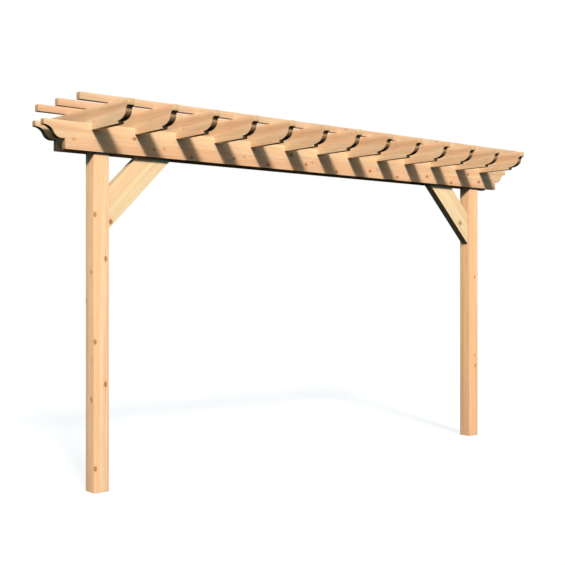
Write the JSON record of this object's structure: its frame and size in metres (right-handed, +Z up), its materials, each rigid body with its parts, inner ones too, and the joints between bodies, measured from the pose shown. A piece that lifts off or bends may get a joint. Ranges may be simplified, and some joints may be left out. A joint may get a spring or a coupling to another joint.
{
  "type": "single-row timber pergola",
  "caption": "Narrow open timber pergola: two square posts carry a pair of beam boards with shaped ends, corner braces, notched rafters and battens on top.",
  "frame": {"origin": "centre of the left post's foot, at ground level", "axes": "+X along the beam from the left post to the right post, +Y towards the rear, +Z up"},
  "size_m": [4.98, 1.15, 2.745],
  "materials": {
    "post_timber": "planed softwood, unfinished, fine lengthwise grain with small knots",
    "beam_timber": "planed softwood, unfinished, fine lengthwise grain with small knots",
    "brace_timber": "planed softwood, unfinished, grain along the brace",
    "rafter_timber": "planed softwood, unfinished, grain along the rafter",
    "batten_timber": "planed softwood, unfinished, grain along the batten"
  },
  "bodies": {
    "root": {"left_post": "post_timber", "right_post": "post_timber", "front_beam": "beam_timber", "rear_beam": "beam_timber", "left_brace": "brace_timber", "right_brace": "brace_timber", "rafter_01": "rafter_timber", "rafter_02": "rafter_timber", "rafter_03": "rafter_timber", "rafter_04": "rafter_timber", "rafter_05": "rafter_timber", "rafter_06": "rafter_timber", "rafter_07": "rafter_timber", "rafter_08": "rafter_timber", "rafter_09": "rafter_timber", "rafter_10": "rafter_timber", "rafter_11": "rafter_timber", "rafter_12": "rafter_timber", "rafter_13": "rafter_timber", "front_batten": "batten_timber", "middle_batten": "batten_timber", "rear_batten": "batten_timber"}
  },
  "joints": []
}
